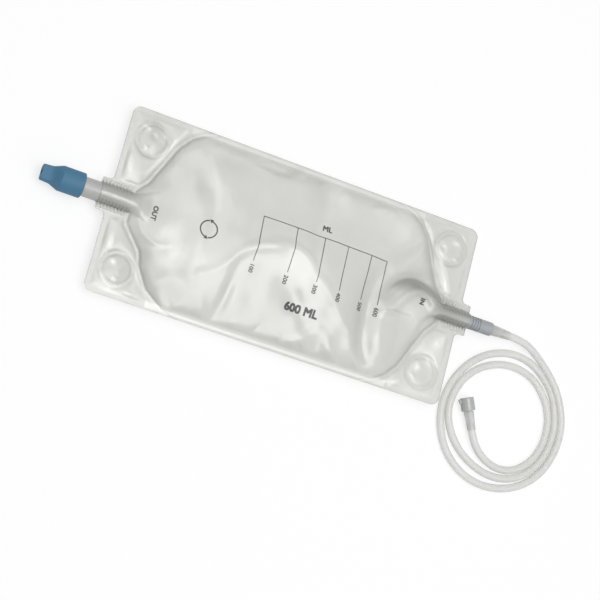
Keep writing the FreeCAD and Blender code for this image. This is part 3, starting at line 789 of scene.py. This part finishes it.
class FilmPattern:
    """One flat cut of film, as points and triangles that are finer where the welds are."""

    EDGE_STEP, MIDDLE_STEP, END_STEP, NECK_STEP = 0.8, 1.5, 0.85, 0.42
    MIDDLE_END = 72
    LATTICE_END = 138
    EDGE_CLEARANCE = 0.45

    def __init__(self):
        edge = [p[:] for p in divided(rounded_outline(full_outline()), self.EDGE_STEP)]
        self.rim = len(edge)
        loop = [(i, (i + 1) % self.rim) for i in range(self.rim)]
        points = [Vector(p) for p in edge + self.filling(edge).tolist()]
        found = delaunay_2d_cdt(points, loop, [], 1, 1e-5)
        self.plan = np.array([v[:] for v in found[0]])
        self.faces = found[2]

    def filling(self, edge):
        """Points inside the outline and clear of its edge, closer together in the necks."""
        wide = np.concatenate([
            lattice(left, right, -HALF_WIDTH, HALF_WIDTH, step) for left, right, step in (
                (-self.MIDDLE_END, self.MIDDLE_END, self.MIDDLE_STEP),
                (-self.LATTICE_END, -self.MIDDLE_END, self.END_STEP),
                (self.MIDDLE_END, self.LATTICE_END, self.END_STEP))])
        in_neck = (np.abs(wide[:, 0]) > PORT_END) & (np.abs(wide[:, 1]) < NECK_HALF)
        necks = [lattice(left, right, -NECK_HALF, NECK_HALF, self.NECK_STEP)
                 for left, right in ((-NECK_END, -PORT_END), (PORT_END, NECK_END))]
        points = np.concatenate([wide[~in_neck], *necks])
        x, y = points.T
        near = np.full(len(points), np.inf)
        for edge_x, edge_y in edge:
            near = np.minimum(near, np.hypot(x - edge_x, y - edge_y))
        return points[inside(x, y, edge) & (near > self.EDGE_CLEARANCE)]


@cache
def film_parts():
    """The film's pattern and shape, worked out once."""
    return FilmPattern(), FilmShape(bpy.context.scene.bag_film)


# How dark the film is painted where it stands steep, as painted shade on the flanks of its folds,
# and how dark its turned edge reads; and the limits of the tone, from the brightest painted
# highlight to the darkest mark
STEEP_DARK, HEM_DARK = 0.28, 0.6
BRIGHTEST_PAINTED_HIGHLIGHT, DARKEST_MARK = -0.8, 1
HEM = 0.5  # depth of the front film's turned edge
SHARP_FROM = math.radians(50)


def film_mesh(name, heights, hem):
    """A film panel over the pattern, with its cut edge turned down by a hem."""
    pattern, shape = film_parts()
    plan = pattern.plan
    points = [(x * MM, y * MM, (WELD_HEIGHT + z) * MM) for (x, y), z in zip(plan, heights)]
    faces = [tuple(f) for f in pattern.faces]
    if hem:
        rim = pattern.rim
        start = len(points)
        points += [(x, y, z - hem * MM) for x, y, z in points[:rim]]
        faces += [(i, start + i, start + (i + 1) % rim, (i + 1) % rim) for i in range(rim)]
    mesh = bpy.data.meshes.new(name)
    mesh.from_pydata(points, [], faces)
    mesh.validate()
    mesh.shade_smooth()
    mesh.set_sharp_from_angle(angle=SHARP_FROM)
    mesh.update()
    upright = np.array([n.vector.z for n in mesh.vertex_normals])
    slope = np.sqrt(1 / np.clip(upright, 0.2, 1) ** 2 - 1)
    # Painted shade on the steep flanks of the folds
    marks_and_painted_light = STEEP_DARK * smooth_step(slope, 0.15, 0.8)
    # Welds and ribs, with painted shade and painted highlights
    marks_and_painted_light[:len(plan)] += shape.marks(plan[:, 0], plan[:, 1])
    marks_and_painted_light[len(plan):] = HEM_DARK
    # The weld attribute carries the welds and ribs, and also the painted shade and painted
    # highlights
    weld = mesh.attributes.new("weld", "FLOAT", "POINT")
    weld.data.foreach_set("value", np.clip(marks_and_painted_light, BRIGHTEST_PAINTED_HIGHLIGHT, DARKEST_MARK))
    return mesh


# Operators

class BAG_OT_films(bpy.types.Operator):
    """Make the front and back film panels"""

    bl_idname = "bag.films"
    bl_label = "Film panels"

    def execute(self, context):
        settings = context.scene.bag_film
        pattern, shape = film_parts()
        x, y = pattern.plan[:, 0], pattern.plan[:, 1]
        finish = film_finish("clear_film", settings.colour, settings.opacity)
        for name, heights, hem, node in (
                ("front_film_skin", shape.front(x, y), HEM, "front_film"),
                ("back_film_skin", shape.back(x, y), 0, "back_film")):
            panel = add_piece(name, film_mesh(name, heights, hem))
            panel.data.materials.append(finish)
            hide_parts(node)
        return {"FINISHED"}


def letters(text, size, x, y, turn, bold):
    """Flat shapes of some figures, in millimetres, anchored at their middle.

    They are drawn five times, apart by the boldness, and merged later.
    """
    curve = bpy.data.curves.new("figures", "FONT")
    curve.body = text
    curve.size = size
    curve.align_x = "CENTER"
    curve.align_y = "CENTER"
    curve.resolution_u = 3
    carrier = place_object("figures", curve)
    bpy.context.view_layer.update()
    evaluated = carrier.evaluated_get(bpy.context.evaluated_depsgraph_get())
    mesh = bpy.data.meshes.new_from_object(evaluated)
    bpy.data.objects.remove(carrier)
    bpy.data.curves.remove(curve)
    c, s = math.cos(turn), math.sin(turn)
    faces = [tuple(p.vertices) for p in mesh.polygons]
    shapes = []
    for dx, dy in ((0, 0), (-bold, -bold), (bold, -bold), (bold, bold), (-bold, bold)):
        flat = [(v.co.x + dx, v.co.y + dy) for v in mesh.vertices]
        shapes.append(([(x + c * u - s * v, y + s * u + c * v) for u, v in flat], faces))
    bpy.data.meshes.remove(mesh)
    return shapes


def bar(ax, ay, bx, by, width):
    """A printed line from one point to another."""
    along = Vector((bx - ax, by - ay)).normalized() * (width / 2)
    side = Vector((-along.y, along.x))
    a = Vector((ax, ay)) - along
    b = Vector((bx, by)) + along
    return [([(a - side)[:], (b - side)[:], (b + side)[:], (a + side)[:]], [(0, 1, 2, 3)])]


def turn_arrow(first, last, width):
    """An arc from one angle to another, with an arrowhead at its far end."""
    angles = [math.radians(first + (last - first) * k / ARROW_STEPS)
              for k in range(ARROW_STEPS + 1)]
    line = [(ARROW_X + ARROW_RADIUS * math.cos(a), ARROW_Y + ARROW_RADIUS * math.sin(a))
            for a in angles]
    shapes = []
    for (ax, ay), (bx, by) in zip(line, line[1:]):
        shapes += bar(ax, ay, bx, by, width)
    tip = Vector(line[-1])
    ahead = (tip - Vector(line[-3])).normalized()
    side = Vector((-ahead.y, ahead.x))
    head = [tip + ahead * HEAD_LENGTH, tip + side * HEAD_HALF, tip - side * HEAD_HALF]
    return shapes + [([p[:] for p in head], [(0, 1, 2)])]


# Longest straight run of an inked edge and the grid inside it, so that the ink follows the folds
INK_STEP = 0.9
INK_GRID = 1.0


def inked(shapes):
    """Plan points and triangles of one printed item, merged and cut finely."""
    points = []
    sides = []
    rings = []
    for outline, cells in shapes:
        for cell in cells:
            ring = [Vector(outline[i]) for i in cell]
            rings.append([p[:] for p in ring])
            fine = divided(ring, INK_STEP)
            start = len(points)
            points += fine
            sides += [(start + k, start + (k + 1) % len(fine)) for k in range(len(fine))]
    low = [min(p[k] for p in points) - 1 for k in (0, 1)]
    high = [max(p[k] for p in points) + 1 for k in (0, 1)]
    points += [Vector(p) for p in lattice(low[0], high[0], low[1], high[1], INK_GRID)]
    found = delaunay_2d_cdt(points, sides, [], 0, 1e-4)
    plan = np.array([v[:] for v in found[0]])
    faces = np.array([tuple(face) for face in found[2]])
    middle = plan[faces].mean(1)
    dark = np.zeros(len(faces), bool)
    for ring in rings:
        near = np.all((middle >= np.min(ring, 0)) & (middle <= np.max(ring, 0)), axis=1)
        near = np.nonzero(near)[0]
        dark[near] |= inside(middle[near, 0], middle[near, 1], ring)
    used, numbers = np.unique(faces[dark], return_inverse=True)
    return plan[used], numbers.reshape(-1, 3)


def drape(name, items, lift):
    """One mesh of printed items, laid on the front film."""
    _, film = film_parts()
    plans = []
    faces = []
    count = 0
    for shapes in items:
        plan, triangles = inked(shapes)
        plans.append(plan)
        faces += (triangles + count).tolist()
        count += len(plan)
    x, y = np.concatenate(plans).T
    z = WELD_HEIGHT + film.front(x, y) + lift
    mesh = bpy.data.meshes.new(name)
    mesh.from_pydata(np.stack([x, y, z], 1) * MM, [], faces)
    mesh.shade_smooth()
    mesh.update()
    return mesh


# The printed scale: where its ticks stand along the bag, and its figures below them
TICKS = (-29.4, -3.6, 18.4, 36.9, 55.9, 69.0)
SCALE_TOP, SCALE_FOOT = 20.0, -12.6
FIGURE_SIZE, FIGURE_DROP, FIGURE_BOLD = 4.3, 5.4, 0.1

# Text, size, place, turn and boldness of each printed word
DOWN = -math.pi / 2
WORDS = (
    ("ML", 5.4, 18.5, 26.6, 0, 0.2),
    ("600 ML", 8.2, 14.4, -34.6, 0, 0.35),
    ("OUT", 4.8, -103.8, -2.6, DOWN, 0.2),
    ("IN", 4.8, 102.8, 1.2, DOWN, 0.2),
)

# The two arrows that show the cap's turn, round one centre
ARROW_X, ARROW_Y, ARROW_RADIUS = -65, -1.5, 6.0
ARROW_ARCS = ((100, 255), (-80, 75))
ARROW_STEPS = 14
ARROW_LINE = 1.6  # times the width of the other lines
HEAD_LENGTH, HEAD_HALF = 2.6, 1.5


class BAG_OT_print(bpy.types.Operator):
    """Print the volume scale and the port marks on the front film"""

    bl_idname = "bag.print"
    bl_label = "Printing"

    def execute(self, context):
        settings = context.scene.bag_print
        width = settings.line
        items = [bar(TICKS[0], SCALE_TOP, TICKS[-1], SCALE_TOP, width)]
        items += [letters(*word) for word in WORDS]
        items += [turn_arrow(first, last, width * ARROW_LINE) for first, last in ARROW_ARCS]
        for number, tick in enumerate(TICKS, start=1):
            items.append(bar(tick, SCALE_TOP, tick, SCALE_FOOT, width))
            items.append(letters(str(number * 100), FIGURE_SIZE, tick, SCALE_FOOT - FIGURE_DROP,
                                 DOWN, FIGURE_BOLD))
        finish = Finish("printing_ink")
        wear = finish.noise(900.0, 3.0)
        finish.set(
            base_color=finish.mix(wear, settings.colour, shade(settings.colour, 2.2)),
            roughness=finish.spread(wear, 0.3, 0.7, 0.35, 0.55))
        ink = add_piece("volume_print", drape("volume_print", items, settings.lift))
        ink.data.materials.append(finish.material)
        return {"FINISHED"}


# Where the milky pieces fade: the axis, and where along it the fade starts and stops, in metres
OUTLET_FADE = ("X", -0.1445, -0.1235)
INLET_FADE = ("X", 0.138, 0.121)
SLEEVE_FADE = ("X", 0.160, 0.178)
HUB_FADE = ("Y", -0.060, -0.072)


class BAG_OT_ports(bpy.types.Operator):
    """Finish the two port tubes"""

    bl_idname = "bag.ports"
    bl_label = "Ports"

    def execute(self, context):
        settings = context.scene.bag_fittings
        paint_node("outlet_port", milky(
            "port_tube", settings.port, opacity=0.9, roughness=0.36, coat=0.1,
            fade=(*OUTLET_FADE, settings.port, 0.15)))
        paint_node("inlet_port", milky(
            "inlet_tube", settings.inlet, opacity=0.8, roughness=0.36, coat=0.1,
            fade=(*INLET_FADE, settings.inlet, 0.1)))
        return {"FINISHED"}


class BAG_OT_valve(bpy.types.Operator):
    """Finish the twist valve"""

    bl_idname = "bag.valve"
    bl_label = "Twist valve"

    def execute(self, context):
        settings = context.scene.bag_fittings
        paint_node("valve_stem", moulded(
            "valve_plastic", settings.stem, roughness=0.35, coat=0.3))
        paint_node("twist_cap", moulded("blue_cap", settings.cap, roughness=0.6, coat=0.0))
        return {"FINISHED"}


class BAG_OT_connector(bpy.types.Operator):
    """Finish the inlet adapter and its sleeve"""

    bl_idname = "bag.connector"
    bl_label = "Inlet connector"

    def execute(self, context):
        settings = context.scene.bag_fittings
        tubing = context.scene.bag_tubing.colour
        paint_node("inlet_adapter", moulded(
            "grey_adapter", settings.adapter, roughness=0.4, coat=0.2))
        paint_node("tube_sleeve", milky(
            "sleeve", shade(settings.port, 0.93), opacity=0.92, roughness=0.32, coat=0.2,
            fade=(*SLEEVE_FADE, tubing, 0.6)))
        return {"FINISHED"}


# The drain tubing: its way down from the sleeve, its turns and its last part turn, in metres
LEAD_ROUTE = (
    (0.1736, 0.0, 0.010), (0.1858, 0.0, 0.010), (0.1978, -0.0022, 0.0082),
    (0.2094, -0.0076, 0.0048), (0.2206, -0.0156, 0.0032), (0.2302, -0.0254, 0.0028),
    (0.2368, -0.0374, 0.0028))
TAIL_ROUTE = (
    (0.2252, -0.0382, 0.0028), (0.2298, -0.0514, 0.0028), (0.2294, -0.0672, 0.0028),
    (0.2231, -0.0820, 0.0028), (0.2114, -0.0924, 0.0028), (0.1973, -0.0954, 0.0028),
    (0.1852, -0.0918, 0.0033), (0.1764, -0.0858, 0.0044), (0.17074, -0.07802, 0.0054),
    (0.16693, -0.06965, 0.0054))
COIL_CENTRE = (0.192, -0.060)
COIL_HEIGHT = 0.0028
COIL_START, COIL_STEP = 12, 15  # degrees
# Radius of the turns in millimetres, at each step clockwise from the start
COIL_RADII = (
    50.0, 49.2, 48.9, 49.1, 49.3, 49.4, 49.7, 50.2, 50.9, 51.2, 51.1, 50.6, 50.0, 49.5, 48.9,
    48.7, 48.9, 49.4, 49.9, 50.2, 49.4, 47.9, 47.0, 45.3, 44.2, 43.5, 43.3, 43.3, 43.2, 42.9,
    42.3, 41.5, 40.8, 40.9, 41.6, 42.7, 43.8, 43.9, 43.2, 42.5, 41.9, 41.4, 41.1, 41.0, 40.9,
    40.7)


class BAG_OT_tubing(bpy.types.Operator):
    """Lay the drain tubing in its coil"""

    bl_idname = "bag.tubing"
    bl_label = "Tubing"

    def execute(self, context):
        settings = context.scene.bag_tubing
        route = list(LEAD_ROUTE)
        for step, radius in enumerate(COIL_RADII):
            angle = math.radians(COIL_START - COIL_STEP * step)
            route.append((COIL_CENTRE[0] + radius * MM * math.cos(angle),
                          COIL_CENTRE[1] + radius * MM * math.sin(angle), COIL_HEIGHT))
        route += TAIL_ROUTE
        curve = bpy.data.curves.new("drain_tubing", "CURVE")
        curve.dimensions = "3D"
        spline = curve.splines.new("NURBS")
        spline.points.add(len(route) - 1)
        for point, place in zip(spline.points, route):
            point.co = (*place, 1)
        spline.order_u = 3
        spline.use_endpoint_u = True
        spline.resolution_u = 6
        curve.bevel_depth = settings.diameter / 2
        curve.bevel_resolution = 6
        curve.use_fill_caps = True
        curve.materials.append(milky("tubing", settings.colour, opacity=0.55, roughness=0.3))
        tube = add_piece("drain_tubing", curve)
        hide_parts("drain_tube_lead", "drain_tube_coil", "drain_tube_tail")
        return {"FINISHED"}


class BAG_OT_luer(bpy.types.Operator):
    """Finish the luer hub and its collar"""

    bl_idname = "bag.luer"
    bl_label = "Luer lock"

    def execute(self, context):
        settings = context.scene.bag_fittings
        tubing = context.scene.bag_tubing.colour
        paint_node("luer_hub", milky(
            "luer_hub", settings.hub, opacity=0.7, roughness=0.32, coat=0.2,
            fade=(*HUB_FADE, tubing, 0.45)))
        paint_node("luer_collar", milky(
            "luer_plastic", settings.collar, opacity=0.95, roughness=0.32))
        return {"FINISHED"}


SENSOR_WIDTH = 36
FLOOR_HALF = 25.0
FLOOR_DROP = 0.0002
FLOOR_GLOW, FLOOR_GLOW_SHARE = 1.03, 0.7
SKY = 0.27

# The lamps: name, place, width and power. Each looks at the frame's origin.
LAMPS = (
    ("key", (-0.25, 0.35, 1.9), 1.3, 12.0),
    ("front", (0.25, -0.35, 1.9), 1.0, 15.0),
    ("fill", (1.2, -0.9, 1.4), 1.4, 4.0),
)


class BAG_OT_stage(bpy.types.Operator):
    """Set up the camera, the lights and the floor"""

    bl_idname = "bag.stage"
    bl_label = "Stage"

    def execute(self, context):
        settings = context.scene.bag_stage
        self.add_camera(context, settings)
        self.add_floor()
        self.add_lights(context, settings)
        context.scene.view_settings.view_transform = "Standard"
        return {"FINISHED"}

    def add_camera(self, context, settings):
        data = bpy.data.cameras.new("camera")
        data.lens = settings.lens
        data.sensor_width = SENSOR_WIDTH
        data.sensor_fit = "HORIZONTAL"
        camera = place_object("camera", data)
        camera.location = settings.camera
        look = Vector(settings.aim) - Vector(settings.camera)
        facing = look.to_track_quat("-Z", "Y")
        camera.rotation_mode = "QUATERNION"
        camera.rotation_quaternion = facing @ Quaternion((0, 0, 1), settings.roll)
        context.scene.camera = camera

    def add_floor(self):
        """A white floor, which glows for the camera alone."""
        size = FLOOR_HALF
        corners = [(-size, -size, 0), (size, -size, 0), (size, size, 0), (-size, size, 0)]
        mesh = bpy.data.meshes.new("floor")
        mesh.from_pydata(corners, [], [(0, 1, 2, 3)])
        floor = place_object("floor", mesh)
        floor.location.z = -FLOOR_DROP
        finish = Finish("floor")
        finish.set(base_color=(0.95, 0.95, 0.95), roughness=0.9)
        seen = finish.node("LightPath", {}, {}, "Is Camera Ray") * FLOOR_GLOW_SHARE
        glow = finish.node("Emission", {}, {"Color": (1, 1, 1), "Strength": FLOOR_GLOW})
        mixed = finish.node("MixShader", {}, {
            0: seen, 1: Value(finish, finish.shader.outputs[0]), 2: glow})
        finish.feed(finish.output.inputs["Surface"], mixed)
        mesh.materials.append(finish.material)

    def add_lights(self, context, settings):
        for name, place, size, power in LAMPS:
            data = bpy.data.lights.new(name, "AREA")
            data.size = size
            data.energy = power * settings.light
            lamp = place_object(name, data)
            lamp.location = place
            lamp.rotation_mode = "QUATERNION"
            lamp.rotation_quaternion = (-Vector(place)).to_track_quat("-Z", "Y")
        world = bpy.data.worlds.new("studio")
        world.use_nodes = True
        background = world.node_tree.nodes["Background"]
        background.inputs["Color"].default_value = (1, 1, 1, 1)
        background.inputs["Strength"].default_value = SKY
        context.scene.world = world


class BAG_PT_panel(bpy.types.Panel):
    """The steps that dress the drainage bag"""

    bl_idname = "BAG_PT_panel"
    bl_label = "Drainage bag"
    bl_space_type = "VIEW_3D"
    bl_region_type = "UI"
    bl_category = "Drainage bag"

    def draw(self, context):
        for step in STEPS:
            self.layout.operator(step.bl_idname)


STEPS = (
    BAG_OT_stage,
    BAG_OT_tubing,
    BAG_OT_films,
    BAG_OT_print,
    BAG_OT_ports,
    BAG_OT_valve,
    BAG_OT_connector,
    BAG_OT_luer,
)
SETTINGS = {
    "bag_film": FilmSettings,
    "bag_print": PrintSettings,
    "bag_tubing": TubingSettings,
    "bag_fittings": FittingSettings,
    "bag_stage": StageSettings,
}
CLASSES = (*SETTINGS.values(), *STEPS, BAG_PT_panel)


def register():
    for made in CLASSES:
        bpy.utils.register_class(made)
    for name, group in SETTINGS.items():
        setattr(bpy.types.Scene, name, PointerProperty(type=group))


def unregister():
    for name in SETTINGS:
        delattr(bpy.types.Scene, name)
    for made in reversed(CLASSES):
        bpy.utils.unregister_class(made)


def main():
    register()
    bpy.ops.bag.stage()
    bpy.ops.bag.tubing()
    bpy.ops.bag.films()
    bpy.ops.bag.print()
    bpy.ops.bag.ports()
    bpy.ops.bag.valve()
    bpy.ops.bag.connector()
    bpy.ops.bag.luer()


if __name__ == "__main__":
    main()
